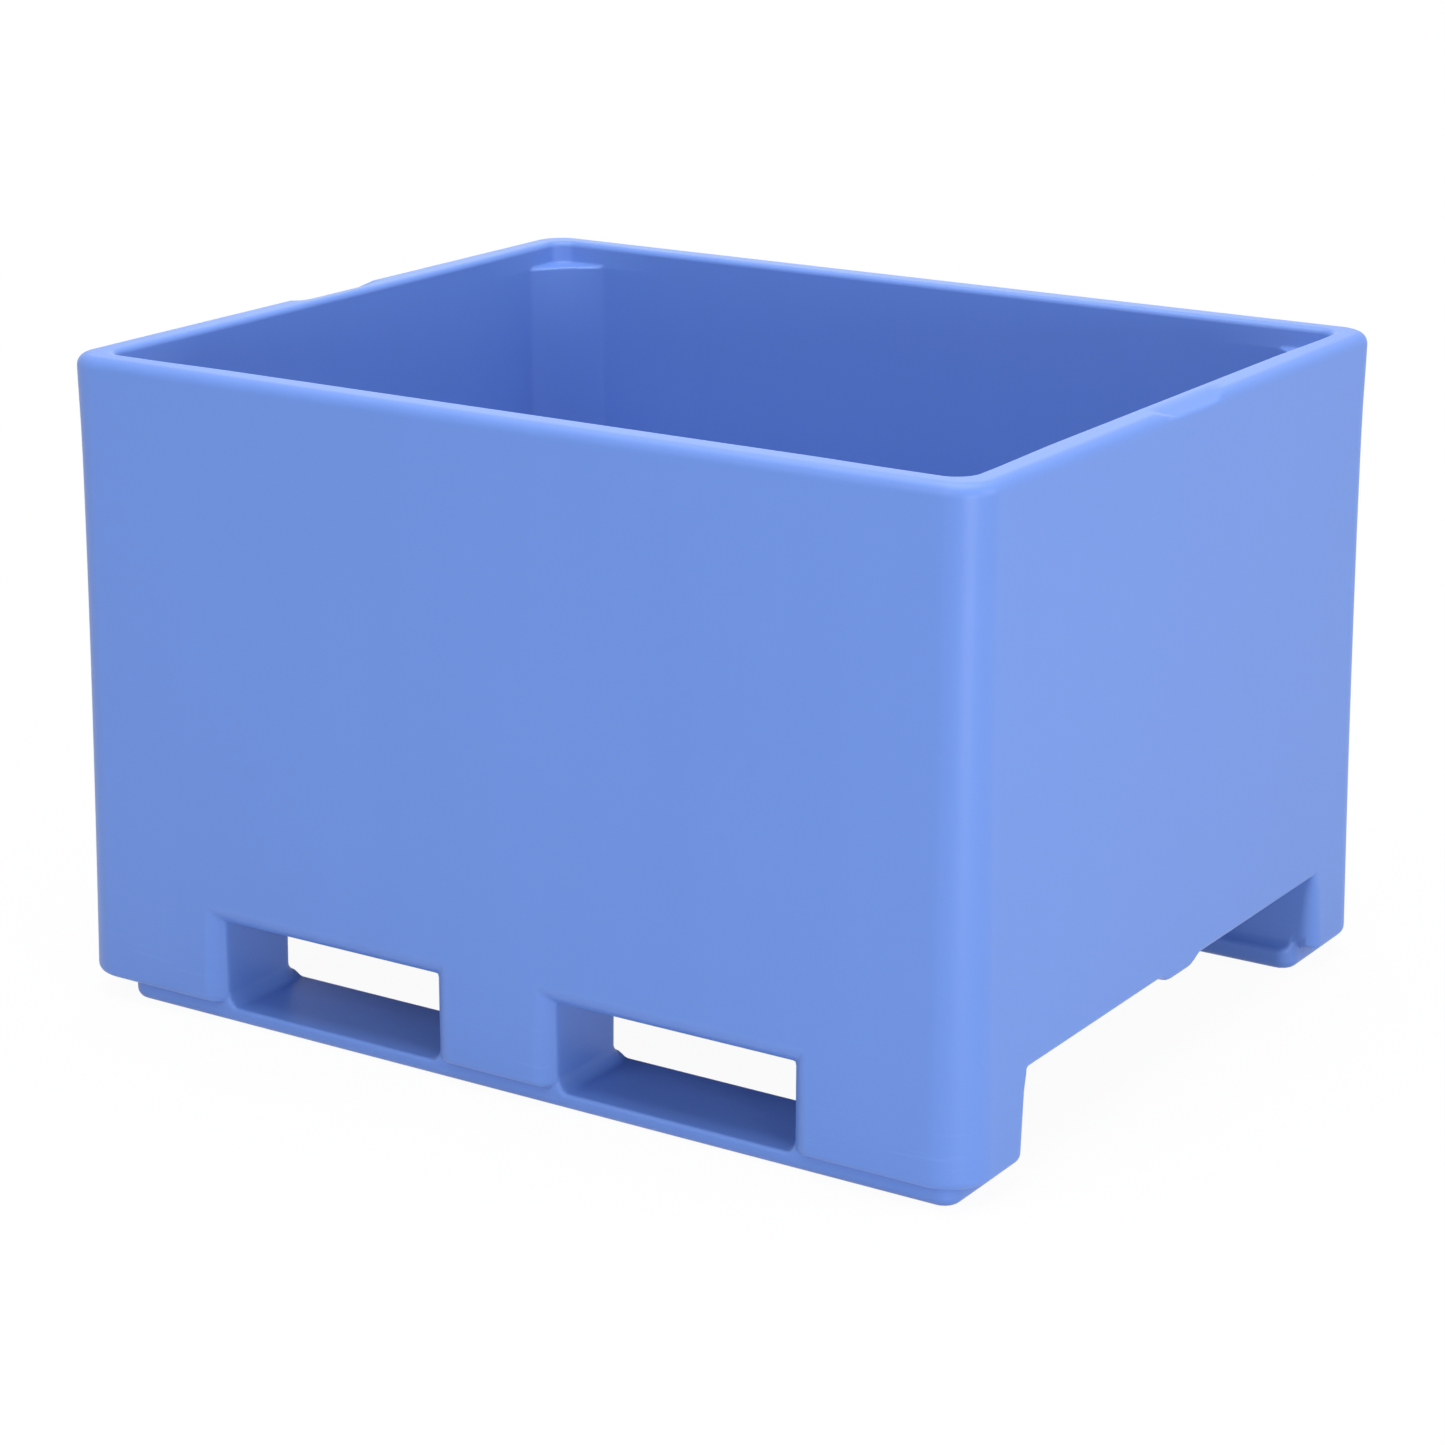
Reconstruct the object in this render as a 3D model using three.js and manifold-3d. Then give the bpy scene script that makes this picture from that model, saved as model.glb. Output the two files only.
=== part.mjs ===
// Insulated pallet box: a one-piece, thick-walled moulded tub that stands on its own fork base.
// Units are millimetres and +Z is up. The origin is on the floor, under the middle of the box.
// The long sides face -Y and +Y and hold the fork pockets. The short sides face -X and +X.

import * as THREE from "three";
import { mergeVertices } from "three/addons/utils/BufferGeometryUtils.js";
import Module from "manifold-3d";

// Outside of the tub
const RIM_LENGTH = 1200;
const RIM_WIDTH = 970;
const HEIGHT = 775;
const OUTER_CORNER_RADIUS = 45;
const RIM_OUTER_ROUND = 13;
const RIM_INNER_ROUND = 7;

// The walls swell towards the feet and have a faint waist under the rim
const FOOT_SPREAD = 9;
const WAIST_DROP = 110;
const WAIST_INSET = 1.5;
const SWELL_POWER = 1.6;

// Inside of the tub
const RIM_WALL = 40;
const FLOOR_THICKNESS = 48;
const INNER_TAPER = 12;
const INNER_CORNER_RADIUS = 24;
const FLOOR_FILLET = 32;

// Three-cornered shelf in each inside corner, over a column that fills the corner
const SHELF_DROP = 28;
const SHELF_LEG = 68;
const SHELF_HOLLOW = 5;
const SHELF_ROOT = 16;

// Relief above each shelf, where the inside corner opens a little towards the rim
const RELIEF_LEG = 54;
const RELIEF_FOOT = 4;
const RELIEF_TOP = 7;
const RELIEF_CORNER_RADIUS = 22;

// Shallow recess in the outer half of the rim, in the middle of each short side
const NOTCH_RIDGE_WIDTH = 9;
const NOTCH_DEPTH = 9;
const NOTCH_RIDGE_HALF = 75;
const NOTCH_FLOOR_HALF = 50;
const NOTCH_OUTER_HALF = 80;

// Fork base: the underside of the tub, the corner and middle legs and the passages between them
const UNDERSIDE_HEIGHT = 125;
const LEG_BOTTOM = 25;
const LEG_EDGE_ROUND = 9;
const LEG_DEPTH = 132;
const LEG_DRAFT = 2;
const ARCH_CORNER_ROUND = 3;
const ARCH_MOUTH_FLARE = 15;
const ARCH_MOUTH_RISE = 6;
const ARCH_MOUTH_DEPTH = 12;

// Keel that hangs under the middle of the tub and shows in both side arches
const KEEL_DEPTH = 10;
const KEEL_HALF = 52;
const KEEL_FLAT_HALF = 22;

// Fork pockets in the two long sides
const POCKET_CENTRE = 236;
const POCKET_WIDTH = 308;
const POCKET_FLOOR = 20;
const POCKET_TOP_ROUND = 3;
const POCKET_FLOOR_ROUND = 14;
const MOUTH_FLARE = 16;
const MOUTH_RISE = 16;
const MOUTH_DEPTH = 16;

// Skid plate that joins the feet of the three legs on each long side, shorter at its -X end
const SKID_LEFT_INSET = 66;
const SKID_RIGHT_INSET = 25;
const SKID_FRONT_INSET = 14;
const SKID_INNER_REACH = 11;
const SKID_CORNER_RADIUS = 22;
const SKID_EDGE_ROUND = 12;
const SKID_SINK = 4;

// Fineness of the faceted curves
const CORNER_STEPS = 7;
const ROUND_STEPS = 4;
const WALL_STEPS = 6;
const CURVE_STEPS = 6;

// How far a cutting shape runs past the surface that it opens
const OVERCUT = 20;

// Moulded polyethylene
const PLASTIC_COLOUR = 0x5f83d6;
const PLASTIC_ROUGHNESS = 0.45;

const wasm = await Module();
wasm.setup();

// Turns a closed three.js geometry into a solid that can be joined and cut.
function toSolid(geometry) {
  const bare = geometry.clone();
  bare.deleteAttribute("normal");
  bare.deleteAttribute("uv");
  const merged = mergeVertices(bare, 1e-4);
  const mesh = new wasm.Mesh({
    numProp: 3,
    vertProperties: Float32Array.from(merged.attributes.position.array),
    triVerts: Uint32Array.from(merged.index.array),
  });
  return new wasm.Manifold(mesh);
}

// Turns a finished solid back into a three.js geometry.
function toGeometry(solid) {
  const mesh = solid.getMesh();
  const geometry = new THREE.BufferGeometry();
  geometry.setAttribute("position", new THREE.BufferAttribute(mesh.vertProperties, 3));
  geometry.setIndex(new THREE.BufferAttribute(mesh.triVerts, 1));
  geometry.computeVertexNormals();
  return geometry;
}

// Steps round a quarter circle: the inset shrinks from the radius to nothing as the rise grows.
function quarterRound(radius) {
  return Array.from({ length: ROUND_STEPS + 1 }, (_, step) => {
    const angle = (step / ROUND_STEPS) * (Math.PI / 2);
    return { inset: radius * (1 - Math.sin(angle)), rise: radius * (1 - Math.cos(angle)) };
  });
}

// A tower with a rounded-rectangle plan. Each station gives a height and how far the plan is
// offset outwards there. A lathe makes the closed skin, and its rings are then laid out in plan.
function roundedTower(stations, halfX, halfY, cornerRadius, centreX = 0, centreY = 0) {
  const profile = stations.map(({ z }) => new THREE.Vector2(1, z));
  profile.unshift(new THREE.Vector2(0, stations[0].z));
  profile.push(new THREE.Vector2(0, stations.at(-1).z));
  const perQuarter = CORNER_STEPS + 1;
  const geometry = new THREE.LatheGeometry(profile, 4 * perQuarter);
  const position = geometry.attributes.position;
  for (let index = 0; index < position.count; index += 1) {
    const ring = Math.floor(index / profile.length) % (4 * perQuarter);
    const level = index % profile.length;
    const quarter = Math.floor(ring / perQuarter);
    const angle = (quarter + (ring % perQuarter) / CORNER_STEPS) * (Math.PI / 2);
    const signX = quarter === 0 || quarter === 3 ? 1 : -1;
    const signY = quarter < 2 ? 1 : -1;
    if (profile[level].x === 0) {
      position.setXYZ(index, centreX, centreY, profile[level].y);
      continue;
    }
    const { z, offset } = stations[level - 1];
    const radius = Math.max(cornerRadius + offset, 1);
    const x = signX * (halfX + offset - radius) + radius * Math.cos(angle);
    const y = signY * (halfY + offset - radius) + radius * Math.sin(angle);
    position.setXYZ(index, centreX + x, centreY + y, z);
  }
  return toSolid(geometry);
}

// A plan or section outline, extruded and then laid out by a function of each point.
function extruded(shape, depth, place) {
  const settings = { depth, steps: 1, bevelEnabled: false, curveSegments: CURVE_STEPS };
  const geometry = new THREE.ExtrudeGeometry(shape, settings);
  const position = geometry.attributes.position;
  const point = new THREE.Vector3();
  for (let index = 0; index < position.count; index += 1) {
    point.fromBufferAttribute(position, index);
    const placed = place(point.x, point.y, point.z);
    position.setXYZ(index, placed.x, placed.y, placed.z);
  }
  return geometry;
}

// Outward offset of the outer wall at a height, from the rim's own outline.
function wallSwell(z) {
  const waist = HEIGHT - WAIST_DROP;
  if (z >= waist) {
    return -WAIST_INSET * THREE.MathUtils.smoothstep(HEIGHT - z, 0, WAIST_DROP);
  }
  const drop = (waist - z) / (waist - LEG_BOTTOM);
  return -WAIST_INSET + (FOOT_SPREAD + WAIST_INSET) * drop ** SWELL_POWER;
}

// Inward lean of the inner wall at a height: none at the rim and all of it at the floor.
function innerLean(z) {
  const floor = UNDERSIDE_HEIGHT + FLOOR_THICKNESS;
  return (INNER_TAPER * (HEIGHT - z)) / (HEIGHT - floor);
}

// The outer block, from the soles of the legs to the rounded rim.
function outerBlock() {
  const stations = [];
  for (const { inset, rise } of quarterRound(LEG_EDGE_ROUND)) {
    const z = LEG_BOTTOM + rise;
    stations.push({ z, offset: wallSwell(z) - inset });
  }
  const low = LEG_BOTTOM + LEG_EDGE_ROUND;
  const high = HEIGHT - RIM_OUTER_ROUND;
  for (let step = 1; step < WALL_STEPS; step += 1) {
    const z = low + ((high - low) * step) / WALL_STEPS;
    stations.push({ z, offset: wallSwell(z) });
  }
  for (const { inset, rise } of quarterRound(RIM_OUTER_ROUND).reverse()) {
    const z = HEIGHT - rise;
    stations.push({ z, offset: wallSwell(z) - inset });
  }
  return roundedTower(stations, RIM_LENGTH / 2, RIM_WIDTH / 2, OUTER_CORNER_RADIUS);
}

// The space inside the tub, with a filleted floor and an opening that rolls over the rim.
function cavity() {
  const floor = UNDERSIDE_HEIGHT + FLOOR_THICKNESS;
  const stations = [];
  for (const { inset, rise } of quarterRound(FLOOR_FILLET)) {
    const z = floor + rise;
    stations.push({ z, offset: -innerLean(z) - inset });
  }
  for (const { inset, rise } of quarterRound(RIM_INNER_ROUND)) {
    const z = HEIGHT - inset;
    stations.push({ z, offset: rise });
  }
  stations.push({ z: HEIGHT + OVERCUT, offset: RIM_INNER_ROUND });
  const halfX = RIM_LENGTH / 2 - RIM_WALL;
  const halfY = RIM_WIDTH / 2 - RIM_WALL;
  return roundedTower(stations, halfX, halfY, INNER_CORNER_RADIUS);
}

// The column in one inside corner, whose flat top is the three-cornered shelf.
function cornerColumn(signX, signY) {
  const outline = new THREE.Shape();
  outline.moveTo(-SHELF_ROOT, -SHELF_ROOT);
  outline.lineTo(SHELF_LEG, -SHELF_ROOT);
  outline.lineTo(SHELF_LEG, 0);
  const middle = SHELF_LEG / 2 - SHELF_HOLLOW * Math.SQRT2;
  outline.quadraticCurveTo(middle, middle, 0, SHELF_LEG);
  outline.lineTo(-SHELF_ROOT, SHELF_LEG);
  outline.closePath();
  const bottom = UNDERSIDE_HEIGHT + FLOOR_THICKNESS - SHELF_ROOT;
  const top = HEIGHT - SHELF_DROP;
  const cornerX = RIM_LENGTH / 2 - RIM_WALL;
  const cornerY = RIM_WIDTH / 2 - RIM_WALL;
  const geometry = extruded(outline, top - bottom, (x, y, height) => {
    const z = bottom + height;
    const lean = innerLean(z);
    return { x: cornerX - x - lean, y: cornerY - y - lean, z };
  });
  const solid = toSolid(geometry);
  const turned = signX > 0 ? solid : solid.mirror([1, 0, 0]);
  return signY > 0 ? turned : turned.mirror([0, 1, 0]);
}

// The hollow above one shelf, which leans outwards up to the rolled edge of the rim.
function cornerRelief(signX, signY) {
  const stations = [{ z: HEIGHT - SHELF_DROP, offset: RELIEF_FOOT }];
  for (const { inset, rise } of quarterRound(RIM_INNER_ROUND)) {
    stations.push({ z: HEIGHT - inset, offset: RELIEF_TOP + rise });
  }
  stations.push({ z: HEIGHT + OVERCUT, offset: RELIEF_TOP + RIM_INNER_ROUND });
  const half = RELIEF_LEG / 2;
  const centreX = signX * (RIM_LENGTH / 2 - RIM_WALL - half);
  const centreY = signY * (RIM_WIDTH / 2 - RIM_WALL - half);
  return roundedTower(stations, half, half, RELIEF_CORNER_RADIUS, centreX, centreY);
}

// The recess in the rim of one short side: a wedge that deepens towards the outside.
function rimNotch(signX) {
  const ridge = RIM_LENGTH / 2 - RIM_WALL + NOTCH_RIDGE_WIDTH + RIM_INNER_ROUND;
  const run = RIM_LENGTH / 2 - ridge;
  const above = OVERCUT / 2;
  const ramp = (NOTCH_OUTER_HALF - NOTCH_FLOOR_HALF) / NOTCH_DEPTH;
  const section = new THREE.Shape();
  section.moveTo(-1, 0);
  section.lineTo(1, 0);
  section.lineTo(1, 1);
  section.lineTo(-1, 1);
  section.closePath();
  const geometry = extruded(section, 1, (across, up, along) => {
    const out = along * (1 + OVERCUT / run);
    const lowHalf = THREE.MathUtils.lerp(NOTCH_RIDGE_HALF, NOTCH_FLOOR_HALF, out);
    const highHalf = THREE.MathUtils.lerp(NOTCH_RIDGE_HALF, NOTCH_OUTER_HALF, out) + ramp * above;
    const half = up > 0 ? highHalf : lowHalf;
    const z = up > 0 ? HEIGHT + above : HEIGHT - NOTCH_DEPTH * out;
    return { x: ridge + out * run, y: across * half, z };
  });
  const solid = toSolid(geometry);
  return signX > 0 ? solid : solid.mirror([1, 0, 0]);
}

// The open passage from side to side between the front and back legs, less the keel. Its ends
// widen towards the legs and rise a little.
function sideArch() {
  const footHalf = RIM_WIDTH / 2 + FOOT_SPREAD - LEG_DEPTH;
  const topHalf = footHalf - LEG_DRAFT;
  const slope = LEG_DRAFT / (UNDERSIDE_HEIGHT - LEG_BOTTOM);
  const low = -OVERCUT;
  const lowHalf = footHalf + slope * (LEG_BOTTOM - low);
  const round = ARCH_CORNER_ROUND;
  const keel = UNDERSIDE_HEIGHT - KEEL_DEPTH;
  const middle = (KEEL_HALF + KEEL_FLAT_HALF) / 2;
  const section = new THREE.Shape();
  section.moveTo(-lowHalf, low);
  section.lineTo(lowHalf, low);
  section.lineTo(topHalf + slope * round, UNDERSIDE_HEIGHT - round);
  section.quadraticCurveTo(topHalf, UNDERSIDE_HEIGHT, topHalf - round, UNDERSIDE_HEIGHT);
  section.lineTo(KEEL_HALF, UNDERSIDE_HEIGHT);
  section.bezierCurveTo(middle, UNDERSIDE_HEIGHT, middle, keel, KEEL_FLAT_HALF, keel);
  section.lineTo(-KEEL_FLAT_HALF, keel);
  section.bezierCurveTo(-middle, keel, -middle, UNDERSIDE_HEIGHT, -KEEL_HALF, UNDERSIDE_HEIGHT);
  section.lineTo(-topHalf + round, UNDERSIDE_HEIGHT);
  section.quadraticCurveTo(
    -topHalf, UNDERSIDE_HEIGHT, -topHalf - slope * round, UNDERSIDE_HEIGHT - round);
  section.closePath();
  const throat = RIM_LENGTH / 2 + FOOT_SPREAD - ARCH_MOUTH_DEPTH;
  const length = 2 * (throat + 1);
  const straight = toSolid(extruded(section, length, (y, z, x) => ({ x: x - length / 2, y, z })));
  const reach = (ARCH_MOUTH_DEPTH + OVERCUT) / ARCH_MOUTH_DEPTH;
  const mouth = toSolid(extruded(section, reach, (y, z, along) => ({
    x: throat + along * ARCH_MOUTH_DEPTH,
    y: y + (Math.abs(y) > KEEL_HALF ? Math.sign(y) * ARCH_MOUTH_FLARE * along : 0),
    z: z + (z > LEG_BOTTOM ? ARCH_MOUTH_RISE * along : 0),
  })));
  return straight.add(mouth).add(mouth.mirror([1, 0, 0]));
}

// One plate under the feet of a long side's legs.
function skidPlate(signY) {
  const footHalfX = RIM_LENGTH / 2 + FOOT_SPREAD;
  const footHalfY = RIM_WIDTH / 2 + FOOT_SPREAD;
  const outerY = footHalfY - SKID_FRONT_INSET;
  const innerY = footHalfY - LEG_DEPTH - SKID_INNER_REACH;
  const top = LEG_BOTTOM + SKID_SINK;
  const stations = quarterRound(SKID_EDGE_ROUND).map(({ inset, rise }) => ({ z: rise, offset: -inset }));
  stations.push({ z: top, offset: 0 });
  const halfX = footHalfX - (SKID_LEFT_INSET + SKID_RIGHT_INSET) / 2;
  const halfY = (outerY - innerY) / 2;
  const centreX = (SKID_LEFT_INSET - SKID_RIGHT_INSET) / 2;
  const centreY = (signY * (outerY + innerY)) / 2;
  return roundedTower(stations, halfX, halfY, SKID_CORNER_RADIUS, centreX, centreY);
}

// Section of a fork pocket, seen along Y, with its origin at the middle of the pocket's floor.
function pocketSection() {
  const half = POCKET_WIDTH / 2;
  const height = UNDERSIDE_HEIGHT - POCKET_FLOOR;
  const section = new THREE.Shape();
  section.moveTo(-half + POCKET_FLOOR_ROUND, 0);
  section.lineTo(half - POCKET_FLOOR_ROUND, 0);
  section.quadraticCurveTo(half, 0, half, POCKET_FLOOR_ROUND);
  section.lineTo(half, height - POCKET_TOP_ROUND);
  section.quadraticCurveTo(half, height, half - POCKET_TOP_ROUND, height);
  section.lineTo(-half + POCKET_TOP_ROUND, height);
  section.quadraticCurveTo(-half, height, -half, height - POCKET_TOP_ROUND);
  section.lineTo(-half, POCKET_FLOOR_ROUND);
  section.quadraticCurveTo(-half, 0, -half + POCKET_FLOOR_ROUND, 0);
  return section;
}

// One fork pocket through one row of legs, with the mouth that widens and rises to the outside.
function forkPocket(signX, signY) {
  const section = pocketSection();
  const height = UNDERSIDE_HEIGHT - POCKET_FLOOR;
  const face = RIM_WIDTH / 2 + FOOT_SPREAD;
  const throat = face - MOUTH_DEPTH;
  const inner = face - LEG_DEPTH - SKID_INNER_REACH - OVERCUT;
  const centre = signX * POCKET_CENTRE;
  const straight = extruded(section, throat + 1 - inner, (x, z, along) => ({
    x: centre + x, y: -inner - along, z: POCKET_FLOOR + z,
  }));
  const reach = (MOUTH_DEPTH + OVERCUT) / MOUTH_DEPTH;
  const mouth = extruded(section, reach, (x, z, along) => ({
    x: centre + x + Math.sign(x) * MOUTH_FLARE * along,
    y: -throat - along * MOUTH_DEPTH,
    z: POCKET_FLOOR + z + (z > height / 2 ? MOUTH_RISE * along : 0),
  }));
  const solid = toSolid(straight).add(toSolid(mouth));
  return signY < 0 ? solid : solid.mirror([0, 1, 0]);
}

// The whole moulding, as one solid.
function insulatedTub() {
  const sides = [-1, 1];
  let body = outerBlock().subtract(sideArch());
  for (const signY of sides) {
    body = body.add(skidPlate(signY));
  }
  for (const signX of sides) {
    for (const signY of sides) {
      body = body.subtract(forkPocket(signX, signY));
    }
  }
  body = body.subtract(cavity());
  for (const signX of sides) {
    for (const signY of sides) {
      body = body.add(cornerColumn(signX, signY)).subtract(cornerRelief(signX, signY));
    }
    body = body.subtract(rimNotch(signX));
  }
  return body;
}

const plastic = new THREE.MeshStandardMaterial({
  color: PLASTIC_COLOUR,
  roughness: PLASTIC_ROUGHNESS,
  metalness: 0,
});
const tub = new THREE.Mesh(toGeometry(insulatedTub()), plastic);
tub.name = "insulated_tub";

const palletBox = new THREE.Group();
palletBox.add(tub);

export default palletBox;
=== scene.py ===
"""Insulated pallet box: one moulded polyethylene tub on its own fork base, in a plain studio.

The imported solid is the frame. The tub is rebuilt here as a fine mesh with the soft rounds and
fillets of a rotational moulding, dressed in its finish, and seen from the photograph's angle.
Lengths are in metres, +Z is up and the origin is on the floor under the middle of the tub.
"""

import logging
import math
from dataclasses import dataclass, field
from enum import Enum

import bpy
import numpy as np
from mathutils import Matrix, Vector


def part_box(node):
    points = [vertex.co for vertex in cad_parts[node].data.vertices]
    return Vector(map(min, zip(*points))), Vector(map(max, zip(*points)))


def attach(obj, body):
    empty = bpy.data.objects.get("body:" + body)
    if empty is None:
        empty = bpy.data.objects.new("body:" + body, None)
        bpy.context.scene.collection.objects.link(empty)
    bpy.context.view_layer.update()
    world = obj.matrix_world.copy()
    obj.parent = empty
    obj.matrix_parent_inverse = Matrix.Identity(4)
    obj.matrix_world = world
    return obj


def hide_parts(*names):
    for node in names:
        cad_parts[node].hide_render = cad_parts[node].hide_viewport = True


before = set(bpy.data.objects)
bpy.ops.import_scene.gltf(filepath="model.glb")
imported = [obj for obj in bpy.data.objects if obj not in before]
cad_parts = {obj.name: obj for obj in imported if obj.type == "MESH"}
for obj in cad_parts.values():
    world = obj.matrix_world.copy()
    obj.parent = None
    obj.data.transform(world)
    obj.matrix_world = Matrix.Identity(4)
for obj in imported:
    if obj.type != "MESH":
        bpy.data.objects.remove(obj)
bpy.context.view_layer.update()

LOG = logging.getLogger("pallet_box")
EDGE_BEND = "edge_bend"
WHITE = (1.0, 1.0, 1.0, 1.0)
ROUNDING = 1e-6

Triple = tuple[float, float, float]
Tree = bpy.types.NodeTree
Socket = bpy.types.NodeSocket


class CadName(Enum):
    """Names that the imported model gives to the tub."""

    BODY = "root"
    NODE = "insulated_tub"
    SLOT = "moulded_shell"


class Sum(Enum):
    """Sums that the shader trees work out, under Blender's names."""

    ADD = "ADD"
    MULTIPLY = "MULTIPLY"
    LARGER = "MAXIMUM"


def keep_both(first: np.ndarray, second: np.ndarray, radius: float | np.ndarray) -> np.ndarray:
    """Meets two solids and rounds the edge that they make.

    Args:
        first: Signed distance to the first solid, negative inside.
        second: Signed distance to the second solid.
        radius: Radius of the rounded edge, the same everywhere or one for each point.

    Returns:
        Signed distance to what lies in both.
    """
    deep = np.minimum(np.maximum(first, second), -radius)
    return deep + np.hypot(np.maximum(first + radius, 0.0), np.maximum(second + radius, 0.0))


def keep_both_mitred(first: np.ndarray, second: np.ndarray, radius: float) -> np.ndarray:
    """Meets two solids with a rounded edge that keeps its radius when both are moved outwards.

    Args:
        first: Signed distance to the first solid, negative inside.
        second: Signed distance to the second solid.
        radius: Radius of the rounded edge.

    Returns:
        Roughly the signed distance to what lies in both.
    """
    apart = np.abs(first - second)
    near = np.minimum(apart, radius)
    rounding = radius - np.sqrt(2.0 * radius * radius - near * near)
    return 0.5 * (first + second + np.maximum(apart, radius) + rounding)


def keep_either(first: np.ndarray, second: np.ndarray, radius: float) -> np.ndarray:
    """Joins two solids with a fillet between them.

    Args:
        first: Signed distance to the first solid, negative inside.
        second: Signed distance to the second solid.
        radius: Radius of the fillet.

    Returns:
        Signed distance to the joined solid.
    """
    return -keep_both(-first, -second, radius)


def smooth_step(value: np.ndarray, low: float, high: float) -> np.ndarray:
    """Rises smoothly from 0 at low to 1 at high."""
    share = np.clip((value - low) / (high - low), 0.0, 1.0)
    return share * share * (3.0 - 2.0 * share)


def soft_ramp(value: np.ndarray, softness: float) -> np.ndarray:
    """Is nearly zero below zero and nearly the value above it, with a soft bend between."""
    return 0.5 * (value + np.sqrt(value * value + softness * softness))


def rounded_plan(
    x: np.ndarray, y: np.ndarray, half_x: np.ndarray, half_y: np.ndarray, radius: np.ndarray
) -> np.ndarray:
    """Measures a rectangle with rounded corners, centred on the origin.

    Args:
        x: Points' first coordinate.
        y: Points' second coordinate.
        half_x: Half of the rectangle's length at each point.
        half_y: Half of the rectangle's width at each point.
        radius: Corner radius at each point.

    Returns:
        Signed distance to the outline, negative inside.
    """
    past_x = np.abs(x) - half_x + radius
    past_y = np.abs(y) - half_y + radius
    outside = np.hypot(np.maximum(past_x, 0.0), np.maximum(past_y, 0.0))
    inside = np.minimum(np.maximum(past_x, past_y), 0.0)
    return outside + inside - radius


@dataclass
class OuterWalls:
    """Outside of the tub: four slightly swelling walls from the rim down to the legs' soles."""

    half_x: float
    half_y: float
    height: float
    leg_bottom: float = 0.025
    corner_radius: float = 0.045
    rim_round: float = 0.014
    leg_round: float = 0.009
    foot_spread: float = 0.009
    waist_drop: float = 0.110
    waist_inset: float = 0.0015
    swell_power: float = 1.6
    swell_end: float = 1.05

    def swell(self, z: np.ndarray) -> np.ndarray:
        """Gives the outward offset of the wall from the rim's outline.

        Args:
            z: Points' height.

        Returns:
            Nothing at the rim, slightly below zero at the waist, and the most at the feet.
        """
        waist = self.height - self.waist_drop
        near_rim = -self.waist_inset * smooth_step(self.height - z, 0.0, self.waist_drop)
        drop = np.clip((waist - z) / (waist - self.leg_bottom), 0.0, self.swell_end)
        low = -self.waist_inset + (self.foot_spread + self.waist_inset) * drop**self.swell_power
        return np.where(z >= waist, near_rim, low)

    def plan(self, x: np.ndarray, y: np.ndarray, z: np.ndarray) -> np.ndarray:
        """Measures the distance to the outer walls, without top and bottom.

        Args:
            x: Points' place along the tub.
            y: Points' place across the tub.
            z: Points' height.

        Returns:
            Signed distance to the walls, negative inside.
        """
        swell = self.swell(z)
        radius = self.corner_radius + swell
        return rounded_plan(x, y, self.half_x + swell, self.half_y + swell, radius)

    def distance(self, x: np.ndarray, y: np.ndarray, z: np.ndarray) -> np.ndarray:
        """Measures the distance to the whole outer block."""
        rimmed = keep_both(self.plan(x, y, z), z - self.height, self.rim_round)
        return keep_both(rimmed, self.leg_bottom - z, self.leg_round)


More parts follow.
